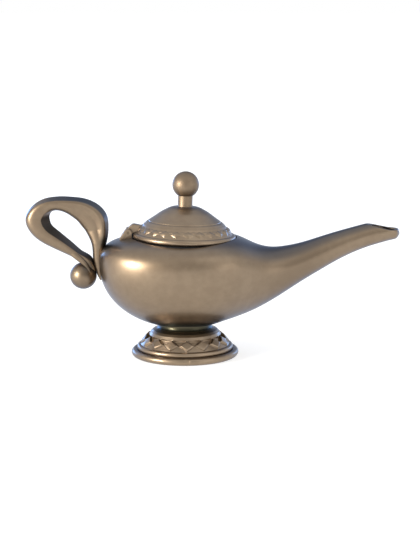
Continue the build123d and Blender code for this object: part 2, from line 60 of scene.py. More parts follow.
# place along the spout, width, drop, lift, height, level of the widest line, fullness on top
SPOUT_ROWS = (
    (0.000, 1.000, 1.000, 0.000, 1.000, 0.692, 0.760),
    (0.062, 0.994, 0.989, 0.000, 0.992, 0.692, 0.755),
    (0.125, 0.959, 0.952, 0.000, 0.964, 0.692, 0.750),
    (0.187, 0.892, 0.886, 0.000, 0.913, 0.690, 0.730),
    (0.239, 0.808, 0.829, 0.000, 0.860, 0.685, 0.700),
    (0.280, 0.718, 0.779, 0.000, 0.795, 0.675, 0.660),
    (0.321, 0.620, 0.722, 0.000, 0.716, 0.650, 0.630),
    (0.361, 0.533, 0.656, 0.000, 0.642, 0.615, 0.600),
    (0.408, 0.449, 0.568, 0.000, 0.568, 0.580, 0.580),
    (0.473, 0.371, 0.432, 0.000, 0.488, 0.545, 0.565),
    (0.548, 0.314, 0.269, 0.000, 0.413, 0.520, 0.552),
    (0.629, 0.265, 0.106, 0.000, 0.359, 0.500, 0.552),
    (0.716, 0.227, 0.000, 0.143, 0.305, 0.500, 0.552),
    (0.797, 0.202, 0.000, 0.440, 0.268, 0.500, 0.552),
    (0.866, 0.186, 0.000, 0.638, 0.247, 0.500, 0.552),
    (0.922, 0.182, 0.000, 0.765, 0.221, 0.500, 0.552),
    (0.959, 0.165, 0.000, 0.840, 0.190, 0.500, 0.552),
    (0.984, 0.128, 0.000, 0.890, 0.145, 0.500, 0.552),
    (1.000, 0.075, 0.000, 0.950, 0.085, 0.500, 0.552),
)
RIM_SLOPE = 12.5
RIM_HEIGHT = 96.8
RIM_X = 0.925 * SPOUT_REACH
RIM_FRAME = (
    Matrix.Translation((RIM_X, 0, RIM_HEIGHT)) @ Matrix.Rotation(math.radians(RIM_SLOPE), 4, "Y")
)
RIM_CUTTER = 30
LIP = 1.25
LIP_SINK = 0.9
LIP_STEP = 4
LIP_SIDES = 16
# half angle of the raised end of the lip, how far it rises and how far it is drawn in
LIP_END, LIP_RAISE, LIP_DRAW = 1.15, 1.45, 0.45

# ---- sizes of the lid and knob, as in the solids
LID_SLOPE = 1.8
MOUTH_OFFSET = -0.4
LID_HEIGHT = 90.45
BEAD = 2.3
LID_RADIUS = 38.6
BEAD_REACH = LID_RADIUS - BEAD
LID_INSIDE = LID_RADIUS - 4.8
SEAT_RADIUS = 39.3
COLLAR_WALL = 2.4
COLLAR_DEPTH = 7.6
LEDGE_WIDTH = 1.8
LEDGE_HEIGHT = 1.4
LID_WALL = 2.0
DOME_RADIUS = 38.0
DOME_TOP = 22.2
STEM_RADIUS = 5.45
STEM_HEIGHT = 9.7
KNOB_RADIUS = 9.9
KNOB_SINK = 1.5
LID_HOLE = 1.53
LID_FRAME = (
    Matrix.Translation((MOUTH_OFFSET, 0, LID_HEIGHT))
    @ Matrix.Rotation(math.radians(LID_SLOPE), 4, "Y")
)

# ---- fine form of the lid, in the visual model alone
# radius, half width and height of two changes to the line of the dome
DOME_FULL = (10, 7, 0.75)
DOME_HOLLOW = (23.5, 7.5, 0.8)
# radius, half width and height of a fine ring and a fine groove at the foot of the dome
DOME_RING = (28.6, 1.0, 0.08)
DOME_GROOVE = (27.2, 0.55, 0.3)
# how the relief of the dome and of the band moves a point, out and up
DOME_WAY = (0.62, 0.78)
BAND_WAY = (0.75, 0.66)
LEAF_PITCH = 15
LEAF_TURN = 5.7
LEAF_LEVEL = 5.4
LEAF_TALL = 4.2
LEAF_LIFT = 1.0
ARCH_LIFT = 0.3
SEAM_LIFT = 0.22

# ---- sizes of the foot and base, as in the solids
FOOT_BEAD = 2.15
FOOT_BEAD_REACH = 34.0
FOOT_WALL = 2.4
BASE_TOP = 4.6
BASE_BEAD = 2.7
BASE_REACH = 37.6
BAND_LOW = (33.4, 8.9)
BAND_HIGH = (27.0, 16.4)
RING_FOOT = (26.6, 17.0)
RING_TOP = (22.2, 20.6)
NECK_RADIUS = 19.6
NECK_TOP = 27.0
DIAMONDS = 16
DIAMOND_TURN = 3.4
DIAMOND_BEVEL = 0.27
DIAMOND_LIFT = 1.25
DIAMOND_RIDGE = 0.42
DIAMOND_PIT = 1.0
SCREW = 1.43
SCREW_HEAD = 2.73
BASE_CIRCLE = 20.0
BOWL_CIRCLE = 10.5
BOSS = 3.6

# ---- sizes of the hinge and handle, as in the solids
HINGE_X = -41.9
HINGE_Z = 93.8
PIN_BORE = 1.15
KNUCKLE = 2.7
TONGUE = 3.3
TONGUE_HALF = 3.2
TONGUE_CROWN = (4.0, 2.7)
TONGUE_END = (8.2, 1.8)
HANDLE_REACH = 53.4
HANDLE_RISE = 50.2
HANDLE_GRIP = 19.0
HANDLE_WIDTH = 15.5
BALL_RADIUS = 10.0
BALL_AT = (-NOSE_REACH - 0.227 * HANDLE_REACH, EQUATOR - 0.189 * HANDLE_RISE)
# shares of HANDLE_REACH, HANDLE_RISE, HANDLE_GRIP and HANDLE_WIDTH, from the blade's point round
HANDLE_ROWS = (
    (-0.024, -0.250, 0.10, 0.20), (-0.008, -0.180, 0.20, 0.34), (0.006, -0.060, 0.33, 0.50),
    (0.016, 0.080, 0.41, 0.62), (0.012, 0.200, 0.47, 0.70), (0.004, 0.303, 0.60, 0.80),
    (0.008, 0.408, 0.763, 0.90), (0.024, 0.513, 0.915, 0.97), (0.051, 0.620, 1.058, 1.02),
    (0.123, 0.723, 1.068, 1.04), (0.217, 0.793, 0.958, 1.03), (0.322, 0.838, 0.830, 1.01),
    (0.418, 0.868, 0.700, 0.98), (0.512, 0.885, 0.626, 0.95), (0.622, 0.884, 0.585, 0.95),
    (0.716, 0.860, 0.620, 0.95), (0.780, 0.799, 0.800, 0.97), (0.847, 0.667, 0.990, 1.00),
    (0.785, 0.518, 0.925, 1.00), (0.720, 0.433, 0.765, 0.97), (0.632, 0.362, 0.660, 0.94),
    (0.515, 0.291, 0.600, 0.91), (0.403, 0.221, 0.530, 0.87), (0.290, 0.145, 0.455, 0.81),
    (0.170, 0.045, 0.440, 0.73), (0.112, -0.050, 0.370, 0.56), (0.078, -0.125, 0.230, 0.36),
)
# x, y, z and half thickness along the pointed end over the ball
LEAF_PATH = (
    (-92.0, -2.6, 83.6, 1.5), (-86.0, -4.4, 80.2, 2.3), (-79.6, -5.5, 75.4, 2.5),
    (-75.2, -5.9, 71.4, 1.9), (-72.2, -6.6, 67.6, 1.2), (-70.4, -7.6, 64.2, 0.25),
)
# number of the row, and x and z of the edge of the finger loop there
HOLE_LINE = (
    (9, -77.9, 99.4), (10, -80.4, 102.3), (11, -84.1, 105.2), (12, -88.0, 107.7),
    (13, -92.0, 109.3), (14, -96.2, 109.8), (15, -99.2, 108.6), (16, -100.5, 106.3),
    (17, -100.6, 103.2), (18, -99.4, 99.3), (19, -97.3, 96.9), (20, -93.6, 93.9),
    (21, -88.3, 89.4), (22, -82.5, 84.4), (23, -76.6, 79.3),
)
# row numbers, and there the share by which the section is sloped off on its inner and outer side
# and on its face. At SQUARE_ROWS, a middle and a half width, its outer side is squarer.
SQUARE_ROWS = (17, 4)
INNER_SLOPE = ((0, 14, 16, 17, 24, 26), (0, 0, 0.55, 0.68, 0.62, 0.3))
OUTER_SLOPE = ((0, 4, 6, 8, 11, 13, 15, 17, 26), (0, 0.1, 0.36, 0.34, 0.38, 0.52, 0.5, 0.1, 0))
FACE_SLOPE = ((0, 4, 5, 7, 10, 12, 14, 26), (0, 0, 0.05, 0.34, 0.30, 0.1, 0, 0))


# ---------------------------------------------------------------- mesh helpers
def bump(x, middle, half):
    """Smooth bump of height one."""
    d = abs(x - middle) / half
    return (1 - d * d) ** 2 if d < 1 else 0.0


def wrapped(x):
    """Distance to the nearest whole number, with its sign."""
    return x - round(x)


def half_turn(degrees):
    """Angle brought between -180 and 180 degrees."""
    return (degrees + 180) % 360 - 180


def natural_spline(knots, values, at):
    """Natural cubic spline through rows of values, at new places."""
    knots = np.asarray(knots, float)
    values = np.asarray(values, float)
    count = len(knots)
    steps = np.diff(knots)
    system = np.eye(count)
    right = np.zeros_like(values)
    for i in range(1, count - 1):
        system[i, i - 1:i + 2] = steps[i - 1], 2 * (steps[i - 1] + steps[i]), steps[i]
        right[i] = 6 * (
            (values[i + 1] - values[i]) / steps[i] - (values[i] - values[i - 1]) / steps[i - 1]
        )
    bend = np.linalg.solve(system, right)
    at = np.asarray(at, float)
    i = np.clip(np.searchsorted(knots, at) - 1, 0, count - 2)
    h = steps[i][:, None]
    a = (knots[i + 1] - at)[:, None] / h
    b = (at - knots[i])[:, None] / h
    curved = ((a**3 - a) * bend[i] + (b**3 - b) * bend[i + 1]) * h * h / 6
    return a * values[i] + b * values[i + 1] + curved


def add_object(name, data):
    """New object in the scene."""
    item = bpy.data.objects.new(name, data)
    bpy.context.scene.collection.objects.link(item)
    return item


def make_piece(name, verts, faces, smooth_angle=35.0):
    """Mesh object from points in millimetres."""
    mesh = bpy.data.meshes.new(name)
    mesh.from_pydata([tuple(float(c) * MM for c in v) for v in verts], [], faces)
    mesh.validate()
    piece = add_object(name, mesh)
    work = bmesh.new()
    work.from_mesh(mesh)
    bmesh.ops.recalc_face_normals(work, faces=work.faces)
    work.to_mesh(mesh)
    work.free()
    soften(piece, smooth_angle)
    return piece


def soften(piece, angle):
    """Smooth shading, broken where faces meet at more than the angle."""
    piece.data.shade_smooth()
    piece.data.set_sharp_from_angle(angle=math.radians(angle))


def tube_mesh(rings, loop=False):
    """Points and faces of a tube through rings of as many points each, closed by caps or as a loop."""
    rings = np.asarray(rings, float)
    count, around = rings.shape[:2]
    verts = [tuple(p) for ring in rings for p in ring]
    faces = []
    for i in range(count if loop else count - 1):
        here, after = i * around, (i + 1) % count * around
        for j in range(around):
            k = (j + 1) % around
            faces.append((here + j, here + k, after + k, after + j))
    for row in () if loop else (0, count - 1):
        verts.append(tuple(rings[row].mean(0)))
        middle = len(verts) - 1
        for j in range(around):
            faces.append((row * around + j, row * around + (j + 1) % around, middle))
    return verts, faces


def revolve(name, outline, segments, place=None, smooth_angle=35.0, relief=None):
    """Closed outline of (radius, height) turned round Z, then laid by the place matrix.

    relief gives the change of radius and height at a radius, a height and an angle.
    """
    outline = [p for i, p in enumerate(outline) if math.dist(p, outline[i - 1]) > 1e-6]
    verts, faces, rows = [], [], []
    for r, z in outline:
        if r < 1e-6:
            verts.append((0, 0, z))
            rows.append([len(verts) - 1] * segments)
            continue
        row = []
        for j in range(segments):
            a = 2 * math.pi * j / segments
            dr, dz = relief(r, z, a) if relief else (0, 0)
            verts.append(((r + dr) * math.cos(a), (r + dr) * math.sin(a), z + dz))
            row.append(len(verts) - 1)
        rows.append(row)
    for i in range(len(rows)):
        upper, lower = rows[i], rows[(i + 1) % len(rows)]
        for j in range(segments):
            k = (j + 1) % segments
            corner = []
            for v in (upper[j], upper[k], lower[k], lower[j]):
                if v not in corner:
                    corner.append(v)
            if len(corner) > 2:
                faces.append(corner)
    if place is not None:
        verts = [tuple(place @ Vector(v)) for v in verts]
    return make_piece(name, verts, faces, smooth_angle)


def arc(start, through, end, count):
    """Points of the circular arc from start by way of a third point to end."""
    (ax, ay), (bx, by), (cx, cy) = start, through, end
    d = 2 * (ax * (by - cy) + bx * (cy - ay) + cx * (ay - by))
    a2, b2, c2 = ax**2 + ay**2, bx**2 + by**2, cx**2 + cy**2
    ux = (a2 * (by - cy) + b2 * (cy - ay) + c2 * (ay - by)) / d
    uy = (a2 * (cx - bx) + b2 * (ax - cx) + c2 * (bx - ax)) / d
    first, by_way, last = (math.atan2(y - uy, x - ux) for x, y in (start, through, end))
    sweep = (last - first) % (2 * math.pi)
    if (by_way - first) % (2 * math.pi) > sweep:
        sweep -= 2 * math.pi
    radius = math.dist((ux, uy), start)
    turns = [first + sweep * i / count for i in range(count + 1)]
    return [(ux + radius * math.cos(a), uy + radius * math.sin(a)) for a in turns]


def rounded(points, radius, count):
    """Open outline whose inner corners are rounded."""
    out = [points[0]]
    for i in range(1, len(points) - 1):
        p, q, r = (Vector(points[k]) for k in (i - 1, i, i + 1))
        a, b = (p - q).normalized(), (r - q).normalized()
        angle = a.angle(b, math.pi)
        cut = min(radius / math.tan(angle / 2), (p - q).length * 0.49, (r - q).length * 0.49)
        reach = cut * math.tan(angle / 2)
        middle = q + (a + b).normalized() * (reach / math.sin(angle / 2))
        first, last = q + a * cut, q + b * cut
        through = middle + (q - middle).normalized() * reach
        out += arc(tuple(first), tuple(through), tuple(last), count)
    out.append(points[-1])
    return out


def apply_modifiers(piece):
    """Give a piece the mesh that its modifiers make."""
    bpy.context.view_layer.update()
    graph = bpy.context.evaluated_depsgraph_get()
    old = piece.data
    piece.data = bpy.data.meshes.new_from_object(piece.evaluated_get(graph))
    piece.modifiers.clear()
    bpy.data.meshes.remove(old)


def combine(piece, other, operation):
    """Boolean of two closed meshes; the other one is removed."""
    modifier = piece.modifiers.new("cut", "BOOLEAN")
    modifier.operation = operation
    modifier.solver = "MANIFOLD"
    modifier.object = other
    apply_modifiers(piece)
    bpy.data.objects.remove(other)


def finish_piece(piece, body, slot, *replaced):
    """Fix a piece to its body and hide the CAD nodes that it stands for."""
    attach(piece, body)
    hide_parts(*replaced)


# ---------------------------------------------------------------- bowl and spout
def quarter(t, full):
    """Unit quarter curve from (1, 0) to (0, 1), fuller towards its corner as full grows."""
    s = 1 - t
    across = s**3 + 3 * s * s * t + 3 * s * t * t * full
    up = 3 * s * s * t * full + 3 * s * t * t + t**3
    return across, up


def section_ring(x, middle, across, above, below, full_above, per_quarter):
    """One cross section of the bowl, anticlockwise seen from the spout."""
    t = np.arange(per_quarter) / per_quarter
    top_a, top_u = quarter(t, full_above)
    low_a, low_u = quarter(t, ROUND)
    ring = [(across * a, above * u) for a, u in zip(top_a, top_u)]
    back_a, back_u = quarter(1 - t, full_above)
    ring += [(-across * a, above * u) for a, u in zip(back_a, back_u)]
    ring += [(-across * a, -below * u) for a, u in zip(low_a, low_u)]
    back_a, back_u = quarter(1 - t, ROUND)
    ring += [(across * a, -below * u) for a, u in zip(back_a, back_u)]
    return [(x, y, middle + z) for y, z in ring]


def superellipse(share, power):
    """Height of a unit superellipse at a share of its reach."""
    return (1 - share**power) ** (1 / power)


def bowl_skin(name, inset, rows, per_quarter):
    """Closed skin of the bowl and spout, drawn in by the inset."""
    rings = []
    half_width = BOWL_HALF_WIDTH - inset
    full_top = SPOUT_ROWS[0][-1]
    for turn in np.linspace(NOSE_START, 1, rows // 3, endpoint=False):
        share = math.cos(turn * math.pi / 2)
        across = half_width * superellipse(share, WIDTH_POWER)
        above = (BOWL_RISE - inset) * superellipse(share, RISE_POWER)
        below = (BOWL_DEPTH - inset) * superellipse(share, DEPTH_POWER)
        rings.append(section_ring(
            -share * (NOSE_REACH - inset), EQUATOR, across, above, below, full_top, per_quarter
        ))
    table = np.array(SPOUT_ROWS)
    # the nose side mirrored in front, so that the two sides meet without a kink
    mirror = table[1:4].copy()
    mirror[:, 0] *= -1
    table = np.vstack((mirror[::-1], table))
    last_places = 1 - SPOUT_END * (1 - np.sin(np.linspace(0, np.pi / 2, 13)[1:]))
    places = np.append(np.linspace(0, 1 - SPOUT_END, rows), last_places)
    dense = natural_spline(table[:, 0], table[:, 1:], places)
    for place, (width, drop, lift, tall, level, full) in zip(places, dense):
        bottom = EQUATOR - BOWL_DEPTH * drop + SPOUT_LIFT * lift
        height = (BOWL_DEPTH + BOWL_RISE) * tall
        across = width * BOWL_HALF_WIDTH - inset
        above = (1 - level) * height - inset
        below = level * height - inset
        past = (place - (1 - SPOUT_END)) / SPOUT_END
        if past > 0:
            shrink = math.sqrt(max(1 - past * past, 0.0009))
            across, above, below = across * shrink, above * shrink, below * shrink
        if min(across, above, below) > inset / 2:
            rings.append(section_ring(
                place * (SPOUT_REACH - inset), bottom + level * height,
                across, above, below, full, per_quarter,
            ))
    verts, faces = tube_mesh(rings)
    return make_piece(name, verts, faces)


def disc(name, radius, bottom, top, place, segments):
    """A round block that is only used as a cutter."""
    return revolve(name, [(0, bottom), (radius, bottom), (radius, top), (0, top)], segments, place)


def column(name, radius, bottom, top, x, y, segments):
    """An upright round block for one of the screws."""
    return disc(name, radius, bottom, top, Matrix.Translation((x, y, 0)), segments)


def block(name, low, high, place):
    """A box that is only used as a cutter."""
    verts = [tuple(place @ Vector(v)) for v in itertools.product(*zip(low, high))]
    faces = [(0, 1, 3, 2), (4, 6, 7, 5), (0, 4, 5, 1), (2, 3, 7, 6), (0, 2, 6, 4), (1, 5, 7, 3)]
    return make_piece(name, verts, faces)


def round_places(circle, count):
    """Places spread evenly round the foot axis, none of them on the middle plane."""
    turns = [math.radians((turn + 0.5) * 360 / count) for turn in range(count)]
    return [(circle * math.cos(a), circle * math.sin(a)) for a in turns]


def rim_lip(bowl):
    """Rounded lip that runs round the cut rim of the spout's mouth."""
    back = RIM_FRAME.inverted()
    flat = []
    for v in bowl.data.vertices:
        place = back @ (v.co / MM)
        if abs(place.z) < 0.01 and abs(place.x) < RIM_CUTTER - 1:
            flat.append((place.x, place.y))
    flat = np.array(flat)
    middle = (flat.max(0) + flat.min(0)) / 2
    turn = np.arctan2(flat[:, 1] - middle[1], flat[:, 0] - middle[0])
    reach = np.hypot(*(flat - middle).T)
    angles = np.radians(np.arange(0, 360, LIP_STEP))
    outer = []
    for a in angles:
        near = np.abs((turn - a + np.pi) % (2 * np.pi) - np.pi) < math.radians(5)
        outer.append(reach[near].max())
    outer = np.array(outer)
    for _ in range(2):
        outer = (np.roll(outer, 1) + 2 * outer + np.roll(outer, -1)) / 4
    end = np.array([bump((a + np.pi) % (2 * np.pi) - np.pi, 0, LIP_END) for a in angles])
    around = np.stack((np.cos(angles), np.sin(angles)), 1)
    loop = middle + (outer - LIP - LIP_DRAW * end)[:, None] * around
    loop = np.column_stack((loop, LIP_RAISE * end - LIP_SINK))
    ahead = np.roll(loop, -1, 0) - np.roll(loop, 1, 0)
    ahead /= np.linalg.norm(ahead, axis=1)[:, None]
    up = np.array((0, 0, 1))
    rings = []
    for place, out in zip(loop, np.cross(ahead, up)):
        ring = []
        for b in np.linspace(0, 2 * np.pi, LIP_SIDES, endpoint=False):
            spot = place + LIP * (math.cos(b) * out + math.sin(b) * up)
            ring.append(tuple(RIM_FRAME @ Vector(spot)))
        rings.append(ring)
    verts, faces = tube_mesh(rings, loop=True)
    return make_piece("rim_lip", verts, faces)


def make_bowl():
    """The hollow bowl and spout, with the collar and seat of the lid and the open spout mouth."""
    bowl = bowl_skin("bowl_and_spout", 0, 300, 32)
    combine(bowl, bowl_skin("bowl_hollow", WALL, 150, 16), "DIFFERENCE")
    outer, inner = SEAT_RADIUS + COLLAR_WALL, SEAT_RADIUS - LEDGE_WIDTH
    section = [(inner, -COLLAR_DEPTH), (outer, -COLLAR_DEPTH), (outer, BOWL_RISE), (inner, BOWL_RISE)]
    collar = revolve("collar", section, 192, LID_FRAME)
    combine(collar, bowl_skin("bowl_outside", 0.02, 150, 16), "INTERSECT")
    combine(bowl, collar, "UNION")
    seat = disc("seat", SEAT_RADIUS, -COLLAR_DEPTH + LEDGE_HEIGHT, 2 * BOWL_RISE, LID_FRAME, 192)
    combine(bowl, seat, "DIFFERENCE")
    combine(bowl, disc("hole", inner, -COLLAR_DEPTH - 4, 4, LID_FRAME, 192), "DIFFERENCE")
    cutter = block(
        "rim_cutter", (-RIM_CUTTER, -RIM_CUTTER, 0), (RIM_CUTTER, RIM_CUTTER, RIM_CUTTER), RIM_FRAME
    )
    combine(bowl, cutter, "DIFFERENCE")
    floor_level = EQUATOR - BOWL_DEPTH
    for x, y in round_places(BOWL_CIRCLE, 4):
        boss = column("boss", BOSS, floor_level, floor_level + 8, x, y, 32)
        combine(boss, bowl_skin("bowl_outside", 0.05, 90, 8), "INTERSECT")
        combine(bowl, boss, "UNION")
        combine(bowl, column("hole", SCREW, 0, 35, x, y, 24), "DIFFERENCE")
    combine(bowl, rim_lip(bowl), "UNION")
    soften(bowl, 32)
    return bowl


# ---------------------------------------------------------------- lid
def lid_relief(r, z, a):
    """Fine rings at the foot of the dome, and the row of leaves and arches on the band."""
    if z > 9.0 and r > 20:
        lift = DOME_RING[2] * bump(r, *DOME_RING[:2]) - DOME_GROOVE[2] * bump(r, *DOME_GROOVE[:2])
        return lift * DOME_WAY[0], lift * DOME_WAY[1]
    if not 3.2 < z < 7.6 or r <= 30:
        return 0.0, 0.0
    turn = math.degrees(a) + 90 - LEAF_TURN
    u = 2 * wrapped(turn / LEAF_PITCH)
    w = 2 * wrapped((turn - LEAF_PITCH / 2) / LEAF_PITCH)
    v = 2 * (z - LEAF_LEVEL) / LEAF_TALL
    d = abs(u) ** 1.15 + abs(v) ** 1.25
    lift = LEAF_LIFT * (1 - d) ** 0.7 if d < 1 else 0.0
    if v > -0.2:
        arch = abs(math.hypot(w * 0.9, v * 0.5 + 0.45) - 0.75)
        lift = max(lift, ARCH_LIFT * bump(arch, 0, 0.22))
    return lift * BAND_WAY[0], lift * BAND_WAY[1]


def lid_outline():
    """Outline of the lid, from the hole over the dome, band and bead and back inside."""
    dome_middle = DOME_TOP - DOME_RADIUS + STEM_RADIUS**2 / (2 * DOME_RADIUS)
    bend = math.radians(45)
    over = (DOME_RADIUS * math.sin(bend / 2), dome_middle + DOME_RADIUS * math.cos(bend / 2))
    points = [(LID_HOLE, DOME_TOP)]
    for r, z in arc((STEM_RADIUS, DOME_TOP), over, (29.8, 9.4), 150):
        z += DOME_FULL[2] * bump(r, *DOME_FULL[:2])
        points.append((r, z - DOME_HOLLOW[2] * bump(r, *DOME_HOLLOW[:2])))
    band = [(31.2 + 4.0 * t, 7.7 - 4.6 * t) for t in np.linspace(0, 1, 26)]
    points += [(30.25, 8.98), (30.8, 8.3)] + band
    points += [(35.5, 2.75), (BEAD_REACH - 0.35, 2.15)]
    points += arc((BEAD_REACH, BEAD), (LID_RADIUS, 0), (BEAD_REACH, -BEAD), 24)
    points += [(LID_INSIDE, -BEAD), (LID_INSIDE, 2.1), (29.2, 5.7)]
    points += arc((27.8, 7.4), (over[0], over[1] - LID_WALL), (LID_HOLE, DOME_TOP - LID_WALL), 30)
    return points


def hull(circles):
    """Corners of the outline round some circles, anticlockwise."""
    points = sorted({
        (round(x + r * math.cos(a), 6), round(z + r * math.sin(a), 6))
        for x, z, r in circles for a in np.linspace(0, 2 * math.pi, 48, endpoint=False)
    })
    chains = []
    for way in (points, points[::-1]):
        chain = []
        for q in way:
            while len(chain) > 1:
                (ax, ay), (bx, by) = chain[-2:]
                if (bx - ax) * (q[1] - ay) - (by - ay) * (q[0] - ax) > 0:
                    break
                chain.pop()
            chain.append(q)
        chains += chain[:-1]
    return chains


def plate(name, outline, half_width, edge):
    """A flat piece across the hinge from its side outline, with rounded edges."""
    outline = np.array(outline)
    ahead = np.roll(outline, -1, 0) - np.roll(outline, 1, 0)
    ahead /= np.linalg.norm(ahead, axis=1)[:, None]
    out = np.stack((ahead[:, 1], -ahead[:, 0]), 1)
    rings = []
    steps = [math.radians(b) for b in (0, 22, 45, 67, 90)]
    levels = [
        (-half_width + edge * (1 - math.sin(b)), edge * (1 - math.cos(b))) for b in reversed(steps)
    ]
    levels += [(-y, inset) for y, inset in reversed(levels)]
    for y, inset in levels:
        rings.append([(x, y, z) for x, z in outline - out * inset])
    verts, faces = tube_mesh(rings)
    return make_piece(name, verts, faces)


def make_lid():
    """The lid with its ornament and the arched tongue of the hinge."""
    cap = revolve("lid_cap", lid_outline(), 720, LID_FRAME, 28, lid_relief)
    root = (HINGE_X, HINGE_Z, KNUCKLE)
    crown = (HINGE_X + TONGUE_CROWN[0], HINGE_Z + TONGUE_CROWN[1], TONGUE)
    end = (HINGE_X + TONGUE_END[0], HINGE_Z + TONGUE_END[1], TONGUE)
    arm = plate("tongue", hull([root, crown]), TONGUE_HALF, 0.7)
    combine(arm, plate("tongue_end", hull([crown, end]), TONGUE_HALF, 0.7), "UNION")
    pin_frame = Matrix.Translation((HINGE_X, 0, HINGE_Z)) @ Matrix.Rotation(math.radians(90), 4, "X")
    combine(arm, disc("bore", PIN_BORE, -9, 9, pin_frame, 32), "DIFFERENCE")
    combine(arm, disc("inside", LID_INSIDE, -4, 3.1, LID_FRAME, 96), "DIFFERENCE")
    combine(cap, arm, "UNION")
    soften(cap, 30)
    return cap


def seam_relief(r, z, a):
    """Thin line left by the mould on the neck of the knob."""
    if r < STEM_RADIUS - 0.2:
        return 0.0, 0.0
    return SEAM_LIFT * bump(half_turn(math.degrees(a) + 60), 0, 4), 0.0


def make_knob():
    """Neck and ball of the knob."""
    middle_rise = math.sqrt(KNOB_RADIUS**2 - STEM_RADIUS**2)
    height = DOME_TOP + STEM_HEIGHT + middle_rise - KNOB_SINK - 0.02
    low = math.asin(STEM_RADIUS / KNOB_RADIUS) * 0.9
    ball = [(0, height + KNOB_RADIUS)]
    for i in range(1, 65):
        a = (math.pi - low) * i / 64
        ball.append((KNOB_RADIUS * math.sin(a), height + KNOB_RADIUS * math.cos(a)))
    ball.append((0, ball[-1][1]))
    knob = revolve("knob_ball", ball, 128, LID_FRAME)
    top = height - middle_rise + 0.2
    bore = 1.6
    points = [(bore, DOME_TOP), (STEM_RADIUS + 0.5, DOME_TOP), (STEM_RADIUS + 0.15, DOME_TOP + 0.25)]
    points += [(STEM_RADIUS, DOME_TOP + 0.7), (STEM_RADIUS, top), (bore, top)]
    neck = revolve("knob_neck", points, 240, LID_FRAME, 30, seam_relief)
    return knob, neck


# ---------------------------------------------------------------- hinge lug
def make_lug():
    """The lug of the solids with its edges rounded."""
    mesh = nodes["hinge_bracket"].data.copy()
    mesh.name = "hinge_lug"
    lug = add_object("hinge_lug", mesh)
    work = bmesh.new()
    work.from_mesh(mesh)
    bmesh.ops.remove_doubles(work, verts=work.verts, dist=0.01 * MM)
    bmesh.ops.dissolve_limit(work, angle_limit=math.radians(2), verts=work.verts, edges=work.edges)
    work.to_mesh(mesh)
    work.free()
    edge = lug.modifiers.new("edge", "BEVEL")
    edge.width = 0.6 * MM
    edge.segments = 3
    edge.limit_method = "ANGLE"
    edge.angle_limit = math.radians(30)
    apply_modifiers(lug)
    soften(lug, 32)
    return lug


# ---------------------------------------------------------------- handle
def handle_path(count):
    """Middle, half grip and half width of the bar at even steps, with the row number of each."""
    table = np.array(HANDLE_ROWS)
    middle = np.column_stack(
        (-NOSE_REACH - HANDLE_REACH * table[:, 0], EQUATOR + HANDLE_RISE * table[:, 1])
    )
    ahead = np.vstack((middle[1] - middle[0], middle[2:] - middle[:-2], middle[-1] - middle[-2]))
    ahead /= np.linalg.norm(ahead, axis=1)[:, None]
    grip = table[:, 2:3] * HANDLE_GRIP / 2 - 0.01
    out = np.column_stack((-ahead[:, 1], ahead[:, 0])) * grip
    near, far = middle + out, middle - out
    for row, x, z in HOLE_LINE:
        near[row] = x, z
    knots = np.concatenate(([0], np.cumsum(np.hypot(*np.diff(middle, axis=0).T))))
    at = np.linspace(0, knots[-1], count)
    rows = np.column_stack(((near + far) / 2, (near - far) / 2, table[:, 3] * HANDLE_WIDTH / 2))
    return natural_spline(knots, rows, at), np.interp(at, knots, np.arange(len(table)))


def handle_bar(name, count, around):
    """The bar of the handle, from the point of the blade up and round the loop to the strand.

    In a section, u runs across the lamp and v from the outside of the loop to the finger hole.
    The slopes are cut on the half towards the photo, where u is negative.
    """
    dense, number = handle_path(count)
    t = np.linspace(0, 1, around // 2, endpoint=False)
    weights = np.array([c * (1 - t) ** (5 - i) * t**i for i, c in enumerate((1, 5, 10, 10, 5, 1))])
    u = np.array((1, 1, 0.7, -0.7, -1, -1)) @ weights
    v = np.array((0, 0.7, 1.25, 1.25, 0.7, 0)) @ weights
    u, v = np.concatenate((u, -u)), np.concatenate((v, -v))
    step = np.clip((v + 0.65) / 0.65, 0, 1)
    step = step * step * (3 - 2 * step)
    front = np.clip(-u, 0, 1)
    leans, backs, rolls = (
        np.interp(number, *slope) for slope in (INNER_SLOPE, OUTER_SLOPE, FACE_SLOPE)
    )
    rings = []
    for (x, z, dx, dz, wide), row, lean, back, roll in zip(dense, number, leans, backs, rolls):
        power = 1 - 0.3 * bump(row, *SQUARE_ROWS)
        high = np.where(v < 0, -np.abs(v) ** power, v)
        high = np.clip(high, back * front - 1, 1 - lean * front)
        across = u * (1 - roll * step)
        rings.append([(x + dx * b, wide * a, z + dz * b) for a, b in zip(across, high)])
    verts, faces = tube_mesh(rings)
    return make_piece(name, verts, faces)


def leaf(name, flip):
    """Pointed end of the lower strand, which curls over the ball, on the front or flipped."""
    path = np.array(LEAF_PATH)
    knots = np.concatenate(([0], np.cumsum(np.linalg.norm(np.diff(path[:, :3], axis=0), axis=1))))
    dense = natural_spline(knots, path, np.linspace(0, knots[-1], 48))
    ahead = np.gradient(dense[:, :3], axis=0)
    rings = []
    for (x, y, z, half), way in zip(dense, ahead):
        way = Vector(way).normalized()
        across = way.cross(Vector((0, 1, 0))).normalized()
        out = across.cross(way)
        ring = []
        for b in np.linspace(0, 2 * np.pi, 24, endpoint=False):
            spot = Vector((x, y, z)) + across * half * math.cos(b) + out * 0.6 * half * math.sin(b)
            ring.append((spot.x, flip * spot.y, spot.z))
        rings.append(ring)
    verts, faces = tube_mesh(rings)
    return make_piece(name, verts, faces)


def make_handle():
    """Loop, blade and pointed ends as one piece, cut to the outside of the bowl."""
    handle = handle_bar("handle", 360, 128)
    combine(handle, leaf("leaf_front", 1), "UNION")
    combine(handle, leaf("leaf_back", -1), "UNION")
    combine(handle, bowl_skin("bowl_outside", 0.03, 150, 32), "DIFFERENCE")
    soften(handle, 30)
    return handle


